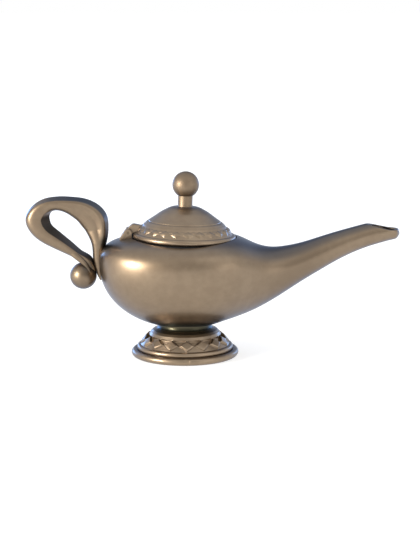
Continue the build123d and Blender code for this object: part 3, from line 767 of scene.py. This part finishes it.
def make_handle_ball():
    """Ball below the lower strand with its short stub."""
    outline = [(0, -BALL_RADIUS)]
    for i in range(1, 61):
        a = math.radians(167) * i / 60
        outline.append((BALL_RADIUS * math.sin(a), -BALL_RADIUS * math.cos(a)))
    stub, stub_top = 2.2, 13.0
    outline += [(stub, stub_top), (0, stub_top)]
    tilt = Matrix.Rotation(math.radians(15), 4, "Y")
    place = Matrix.Translation((BALL_AT[0], 0, BALL_AT[1])) @ tilt
    return revolve("handle_end_ball", outline, 96, place)


# ---------------------------------------------------------------- foot
def foot_relief(r, z, a):
    """Raised diamonds with bevelled edges, corner to corner round the sloping band."""
    if not BAND_LOW[1] + 0.05 < z < BAND_HIGH[1] - 0.05 or r < 20:
        return 0.0, 0.0
    run, climb = BAND_LOW[0] - BAND_HIGH[0], BAND_HIGH[1] - BAND_LOW[1]
    slant = math.hypot(run, climb)
    v = (z - (BAND_LOW[1] + BAND_HIGH[1]) / 2) / (0.47 * climb)
    u = 2 * wrapped((math.degrees(a) + 90 - DIAMOND_TURN) * DIAMONDS / 360)
    edge = (1 - abs(u) - abs(v)) / DIAMOND_BEVEL
    lift = DIAMOND_LIFT * min(max(edge, 0.0), 1.0)
    if v < 0.15:
        lift += DIAMOND_RIDGE * bump(edge, 0.35, 0.4)
    if v > 0 and edge < 0:
        lift = -DIAMOND_PIT * min(-1.8 * edge, 1.0) * min(1.0, (1.06 - v) * 6)
    return lift * climb / slant, lift * run / slant


def make_foot():
    """Pedestal with its bead, diamond band and upper ring, hollow underneath."""
    bead, reach, base = FOOT_BEAD, FOOT_BEAD_REACH, BASE_TOP
    straight = reach - FOOT_WALL
    seat = BAND_HIGH[1] - FOOT_WALL
    points = [(straight, base), (reach, base), (reach + 1.2, base + 0.12), (reach + 1.75, base + 0.5)]
    points += [(reach + 2.0, base + 1.05), (reach + 2.12, base + 1.6)]
    shoulder = (reach + 0.72 * bead, base + 1.7 * bead)
    points += arc((reach + bead, base + bead), shoulder, (reach, base + 2 * bead), 16)
    for t in np.linspace(0, 1, 44):
        points.append(tuple(low + t * (high - low) for low, high in zip(BAND_LOW, BAND_HIGH)))
    points += rounded([RING_FOOT, (25.9, 18.3), (24.2, 19.9), RING_TOP], 0.5, 4)
    points += arc(RING_TOP, (20.4, 21.9), (NECK_RADIUS, 24.4), 8)[1:]
    points += [(NECK_RADIUS, NECK_TOP), (0, NECK_TOP), (0, seat), (BAND_HIGH[0] - FOOT_WALL, seat)]
    points += [(BAND_LOW[0] - FOOT_WALL, BAND_LOW[1]), (straight, base + bead)]
    skin = revolve("foot_skin", points, 960, None, 28, foot_relief)
    for x, y in round_places(BASE_CIRCLE, 4):
        combine(skin, column("boss", BOSS, 3.0, RING_FOOT[1] - 1, x, y, 32), "UNION")
        combine(skin, column("hole", SCREW, 0, 11.2, x, y, 24), "DIFFERENCE")
    for x, y in round_places(BOWL_CIRCLE, 4):
        combine(skin, column("hole", SCREW, 10, 30, x, y, 24), "DIFFERENCE")
    combine(skin, bowl_skin("bowl_outside", 0.03, 150, 32), "DIFFERENCE")
    soften(skin, 28)
    return skin


def base_relief(r, z, a):
    """Small mark of the mould on the front of the bottom bead."""
    if r < BASE_REACH or not 0.2 < z < 5.2:
        return 0.0, 0.0
    turn = half_turn(math.degrees(a) + 90 - 2.5)
    return -0.3 * bump(turn, 0, 3.2) + 0.25 * bump(turn, 3.6, 0.9), 0.0


def make_base():
    """Bottom bead and plate with the sunk seats of its screws."""
    bead, reach = BASE_BEAD, BASE_REACH
    rim = FOOT_BEAD_REACH - FOOT_WALL - 0.1
    points = [(0, 0), (reach, 0)]
    points += arc((reach, 0), (reach + bead, bead), (reach, 2 * bead), 30)[1:]
    points += [(36.75, 5.25), (36.35, 5.0), (36.0, 4.68), (34.6, BASE_TOP), (rim, BASE_TOP)]
    inside = rim - 1.6
    points += [(rim, BASE_TOP + 2), (inside, BASE_TOP + 2), (inside, 3), (0, 3)]
    skin = revolve("base_bead", points, 480, None, 30, base_relief)
    for x, y in round_places(BASE_CIRCLE, 4):
        combine(skin, column("seat", SCREW_HEAD, -1, 2.2, x, y, 32), "DIFFERENCE")
        combine(skin, column("hole", SCREW, -1, 5, x, y, 24), "DIFFERENCE")
    soften(skin, 30)
    return skin


# ---------------------------------------------------------------- materials
def feed(tree, node, sockets):
    """Give sockets of a node a constant or the output of another node."""
    for socket, value in sockets.items():
        if isinstance(value, bpy.types.NodeSocket):
            tree.links.new(value, node.inputs[socket])
        else:
            node.inputs[socket].default_value = value


def add_node(tree, kind, sockets, operation=None):
    """New shader node with its sockets fed."""
    node = tree.nodes.new(kind)
    if operation:
        node.operation = operation
    feed(tree, node, sockets)
    return node


def combined(tree, operation, *values):
    """Result of a Math node."""
    return add_node(tree, "ShaderNodeMath", dict(enumerate(values)), operation).outputs[0]


def spread(tree, value, from_low, from_high, to_low, to_high, smooth=False):
    """Value laid from one range onto another and held at its ends."""
    numbers = (value, from_low, from_high, to_low, to_high)
    node = add_node(tree, "ShaderNodeMapRange", dict(enumerate(numbers)))
    node.interpolation_type = "SMOOTHSTEP" if smooth else "LINEAR"
    return node.outputs[0]


def blend(tree, share, first, second):
    """Mix of two colours, each a constant or an output."""
    node = tree.nodes.new("ShaderNodeMix")
    node.data_type = "RGBA"
    first, second = ((*c, 1) if isinstance(c, tuple) else c for c in (first, second))
    feed(tree, node, {0: share, 6: first, 7: second})
    return node.outputs[2]


def new_material(name):
    """Material with its node tree and Principled shader."""
    material = bpy.data.materials.new(name)
    material.use_nodes = True
    return material, material.node_tree, material.node_tree.nodes["Principled BSDF"]


def grained(name, colours, metallic, roughness, patch, grain, relief):
    """Material with noise on its colour, roughness and surface, and its place and colour outputs."""
    material, tree, shader = new_material(name)
    place = tree.nodes.new("ShaderNodeTexCoord").outputs["Object"]

    def noise(scale, detail):
        sockets = {"Vector": place, "Scale": scale, "Detail": detail}
        return add_node(tree, "ShaderNodeTexNoise", sockets).outputs["Fac"]

    colour = blend(tree, spread(tree, noise(patch, 3), 0.35, 0.65, 0, 1), *colours)
    uneven = add_node(tree, "ShaderNodeBump", {
        "Strength": relief, "Distance": 0.05 * MM, "Height": noise(1.5 * grain, 2),
    })
    feed(tree, shader, {
        "Base Color": colour, "Metallic": metallic, "Normal": uneven.outputs["Normal"],
        "Roughness": spread(tree, noise(grain, 2), 0.3, 0.7, *roughness),
    })
    return material, place, colour


def satin_paint(name, colours, roughness, coat, top=0.0, top_way=(0, 0, 1)):
    """Satin bronze paint with a fine flake, and painted shade where the lamp is darker.

    top is the strength of a painted dark slate reflection on the faces that look along top_way.
    """
    material, place, colour = grained(name, colours, 1.0, roughness, 160, 1800, 0.06)
    tree = material.node_tree
    along, _, height = add_node(tree, "ShaderNodeSeparateXYZ", {0: place}).outputs
    flat = add_node(tree, "ShaderNodeCombineXYZ", {0: along, 2: height}).outputs[0]
    normal = tree.nodes.new("ShaderNodeTexCoord").outputs["Normal"]

    def product(first, second):
        return combined(tree, "MULTIPLY", first, second)

    def fade(value, start, end, first, last):
        """Value that goes from first to last between two places in millimetres."""
        return spread(tree, value, start * MM, end * MM, first, last, True)

    def facing(way, start, end, last):
        """Mask of the faces that look along a way."""
        node = add_node(tree, "ShaderNodeVectorMath", {0: normal, 1: way}, "DOT_PRODUCT")
        return spread(tree, node.outputs["Value"], start, end, 0, last, True)

    def round_spot(x, z, start, end, strength):
        """Mask round a line across the lamp."""
        spot = (x * MM, 0, z * MM)
        node = add_node(tree, "ShaderNodeVectorMath", {0: flat, 1: spot}, "DISTANCE")
        return fade(node.outputs["Value"], start, end, strength, 0)

    # Painted shade: the middle of the spout is darkened where it falls darker under the lamps.
    spout = product(fade(along, 45, 75, 0, 0.65), fade(along, 88, 118, 1, 0))
    # Painted reflection: faces that look along top_way get a dark slate blue that stands for the dark
    # blue surroundings seen in them, strongest on the left shoulder.
    slate = product(
        facing(top_way, 0.42, 0.86, top),
        product(fade(along, 16, 48, 0.1, 1), fade(along, -57, -40, 10.0, 1)),
    )
    # Painted shade: the inner faces of the finger loop are darkened.
    finger_loop_shade = product(
        product(fade(along, -76, -71, 1, 0), fade(height, 107, 111, 1, 0)),
        facing((0.86, 0, 0.51), 0.28, 0.62, 0.92),
    )
    # Painted shade: a dark spot in the crease where the pointed strand curls over the ball.
    strand_corner_shade = product(
        round_spot(-70.8, 66.5, 2, 8, 0.75), fade(along, -69.6, -67.8, 1, 0)
    )
    # Painted shade: a dark spot in the corner where the blade of the handle meets the bowl.
    blade_corner_shade = round_spot(-58.4, 86, 1.5, 7, 0.8)
    # Painted shade: the lower half of the handle ball is darkened.
    low_ball_shade = product(fade(along, -68, -64, 1, 0), fade(height, 50, 60, 0.6, 0))
    # Painted shade: darkened on the neck of the foot and the underside of the bowl just above it, in
    # the shade between bowl and ring.
    foot_neck_shade = product(fade(height, 23, 34, 1, 0), fade(height, 20.4, 22, 0, 1))
    for mask, tint in (
        (spout, (0.196, 0.146, 0.100)),
        (slate, (0.062, 0.074, 0.092)),
        (finger_loop_shade, (0.082, 0.072, 0.064)),
        (strand_corner_shade, (0.080, 0.064, 0.048)),
        (blade_corner_shade, (0.040, 0.040, 0.032)),
        (low_ball_shade, (0.105, 0.092, 0.080)),
        (foot_neck_shade, (0.050, 0.047, 0.029)),
    ):
        colour = blend(tree, mask, colour, tint)
    feed(tree, tree.nodes["Principled BSDF"], {
        "Base Color": colour, "Specular Tint": (0.60, 0.74, 1.0, 1),
        "Coat Weight": coat, "Coat Roughness": 0.16,
    })
    return material


paint = satin_paint(
    "satin_bronze_paint", ((0.279, 0.210, 0.145), (0.304, 0.233, 0.161)), (0.34, 0.39), 0.16
)
# The bowl, handle and knob copies of the paint are darker than the lid's paint and the foot copy is
# lighter: painted shade and painted light that set each part to the brightness it shows under the
# lamps. The bowl and handle also take the painted slate reflection on their upper faces.
bowl_paint = satin_paint(
    "satin_bronze_bowl_shaded", ((0.246, 0.184, 0.125), (0.270, 0.205, 0.140)), (0.34, 0.39), 0.18, 0.55
)
foot_paint = satin_paint(
    "satin_bronze_foot_lit", ((0.288, 0.217, 0.149), (0.314, 0.240, 0.166)), (0.32, 0.37), 0.16
)
handle_paint = satin_paint(
    "satin_bronze_handle_shaded", ((0.222, 0.166, 0.114), (0.244, 0.186, 0.128)), (0.37, 0.43), 0.10,
    0.85, (0.55, 0, 0.83),
)
knob_paint = satin_paint(
    "satin_bronze_knob_shaded", ((0.230, 0.172, 0.118), (0.252, 0.192, 0.132)), (0.46, 0.52), 0.04
)
black = grained(
    "black_plastic_matte", ((0.012, 0.012, 0.013), (0.020, 0.020, 0.021)), 0.0, (0.45, 0.6),
    300, 2500, 0.15,
)[0]
aged = grained(
    "bronzed_steel_aged", ((0.16, 0.125, 0.085), (0.22, 0.17, 0.12)), 1.0, (0.32, 0.42),
    300, 2500, 0.1,
)[0]
steel = grained(
    "plain_steel_turned", ((0.50, 0.50, 0.49), (0.60, 0.60, 0.59)), 1.0, (0.24, 0.36),
    400, 3000, 0.1,
)[0]

# ---------------------------------------------------------------- pieces
bowl = make_bowl()
lid = make_lid()
knob, neck = make_knob()
foot = make_foot()
base = make_base()
handle = make_handle()
ball = make_handle_ball()
lug = make_lug()
finish_piece(bowl, "lamp", "bronze_paint", "bowl_left_shell", "bowl_right_shell")
finish_piece(knob, "lid", "bronze_paint", "finial_ball")
finish_piece(neck, "lid", "bronze_paint", "finial_stem")
finish_piece(base, "lamp", "bronze_paint", "base_plate")
finish_piece(lid, "lid", "bronze_paint", "lid")
finish_piece(foot, "lamp", "bronze_paint", "foot")
finish_piece(handle, "lamp", "bronze_paint", "handle_left_half", "handle_right_half")
finish_piece(ball, "lamp", "bronze_paint", "handle_ball")
finish_piece(lug, "lamp", "bronze_paint", "hinge_bracket")
CARRIED_STEEL = ("foot_screws", "base_screws", "handle_screws", "finial_screw", "finial_washer")
CARRIED_AGED = ("hinge_rivets", "hinge_pin")
CARRIED_BLACK = ("mouth_ring", "lid_skirt")
for material, pieces in (
    (bowl_paint, (bowl,)), (paint, (lid, base, lug)), (foot_paint, (foot,)),
    (knob_paint, (knob, neck)), (handle_paint, (handle, ball)),
    (black, [nodes[name] for name in CARRIED_BLACK]),
    (steel, [nodes[name] for name in CARRIED_STEEL]),
    (aged, [nodes[name] for name in CARRIED_AGED]),
):
    for piece in pieces:
        piece.data.materials.clear()
        piece.data.materials.append(material)


# ---------------------------------------------------------------- stage, camera and light
FLOOR_HALF = 60.0
CAMERA_PITCH = math.radians(10.3)
CAMERA_AIM = (18.84, 0, 57.1)
CAMERA_DISTANCE = 1126.05
FOCAL_PIXELS = 1500
PHOTO_HEIGHT = 560
SENSOR_HEIGHT = 36.0
LIGHT_CENTRE = Vector((0.0, 0, 0.07))
WORLD_STOPS = (
    (0.0, (0.70, 0.69, 0.68)), (0.35, (0.98, 0.98, 0.98)), (0.58, (0.90, 0.90, 0.92)),
    (0.84, (0.86, 0.88, 0.92)), (0.885, (0.62, 0.66, 0.72)), (0.92, (0.28, 0.32, 0.40)),
    (1.0, (0.12, 0.18, 0.30)),
)


def floor_material():
    """White floor that glows where it is seen or reflected, so that only the shadow shows on it."""
    material, tree, shader = new_material("floor_white")
    rays = tree.nodes.new("ShaderNodeLightPath").outputs
    seen = combined(tree, "MAXIMUM", rays["Is Camera Ray"], rays["Is Glossy Ray"])
    seen = combined(tree, "MAXIMUM", seen, rays["Is Transmission Ray"])
    place = tree.nodes.new("ShaderNodeTexCoord").outputs["Object"]
    away = add_node(tree, "ShaderNodeVectorMath", {0: place}, "LENGTH").outputs["Value"]
    glow = combined(tree, "MULTIPLY", seen, spread(tree, away, 0.3, 2.0, 0.66, 0.80))
    feed(tree, shader, {
        "Base Color": (0.50, 0.50, 0.50, 1), "Roughness": 0.9,
        "Emission Color": (1, 1, 1, 1), "Emission Strength": glow,
    })
    return material


def make_world():
    """White surroundings that darken to blue behind the lamp, and plain white below."""
    world = bpy.data.worlds.new("world")
    bpy.context.scene.world = world
    world.use_nodes = True
    tree = world.node_tree
    tree.nodes.clear()
    way = tree.nodes.new("ShaderNodeTexCoord").outputs["Generated"]
    side, depth, height = add_node(tree, "ShaderNodeSeparateXYZ", {0: way}).outputs
    lean = combined(tree, "MULTIPLY_ADD", side, 0.08, depth)
    rise = combined(tree, "MULTIPLY_ADD", height, 0.6, -0.3)
    back = spread(tree, combined(tree, "ADD", lean, rise), -1.0, 1.0, 0, 1)
    ramp = add_node(tree, "ShaderNodeValToRGB", {"Fac": back})
    elements = ramp.color_ramp.elements
    while len(elements) < len(WORLD_STOPS):
        elements.new(0.5)
    for element, (place, colour) in zip(elements, WORLD_STOPS):
        element.position = place
        element.color = (*colour, 1)
    above = combined(tree, "GREATER_THAN", height, 0.03)
    colour = blend(tree, above, (1, 1, 1), ramp.outputs["Color"])
    background = add_node(tree, "ShaderNodeBackground", {"Color": colour})
    add_node(tree, "ShaderNodeOutputWorld", {0: background.outputs[0]})


def area_light(name, direction, reach, size, power, colour):
    """Rectangular light at a reach in metres, turned to the lamp."""
    data = bpy.data.lights.new(name, "AREA")
    data.shape = "RECTANGLE"
    data.size, data.size_y = size
    data.energy = power
    data.color = colour
    light = add_object(name, data)
    out = Vector(direction).normalized()
    light.location = LIGHT_CENTRE + out * reach
    light.rotation_euler = out.to_track_quat("Z", "Y").to_euler()


floor_mesh = bpy.data.meshes.new("floor")
corners = [(x * FLOOR_HALF, y * FLOOR_HALF, 0) for x, y in ((-1, -1), (1, -1), (1, 1), (-1, 1))]
floor_mesh.from_pydata(corners, [], [(0, 1, 2, 3)])
floor = add_object("floor", floor_mesh)
floor_mesh.materials.append(floor_material())

camera_data = bpy.data.cameras.new("camera")
camera = add_object("camera", camera_data)
back_up = Vector((0, -math.cos(CAMERA_PITCH), math.sin(CAMERA_PITCH)))
camera.location = Vector(CAMERA_AIM) * MM + CAMERA_DISTANCE * MM * back_up
camera.rotation_euler = (math.radians(90) - CAMERA_PITCH, 0, 0)
camera_data.sensor_fit = "VERTICAL"
camera_data.sensor_height = SENSOR_HEIGHT
camera_data.lens = SENSOR_HEIGHT * FOCAL_PIXELS / PHOTO_HEIGHT
camera_data.clip_end = 200
bpy.context.scene.camera = camera

area_light("key", (-0.86, -0.52, 0.21), 1.2, (0.34, 0.34), 15, (1.0, 0.93, 0.83))
area_light("fill", (0.76, -0.64, 0.14), 1.4, (0.7, 0.7), 1.4, (1.0, 0.95, 0.90))
area_light("upper", (0.5, -0.45, 0.75), 1.3, (0.9, 0.9), 0.9, (1.0, 0.97, 0.94))
area_light("rim_left", (-0.55, 0.83, 0.10), 1.2, (0.5, 0.2), 2.4, (0.28, 0.56, 1.0))
area_light("rim_right", (0.62, 0.78, 0.10), 1.2, (0.5, 0.2), 1.3, (0.28, 0.56, 1.0))
make_world()
bpy.context.scene.view_settings.view_transform = "Standard"
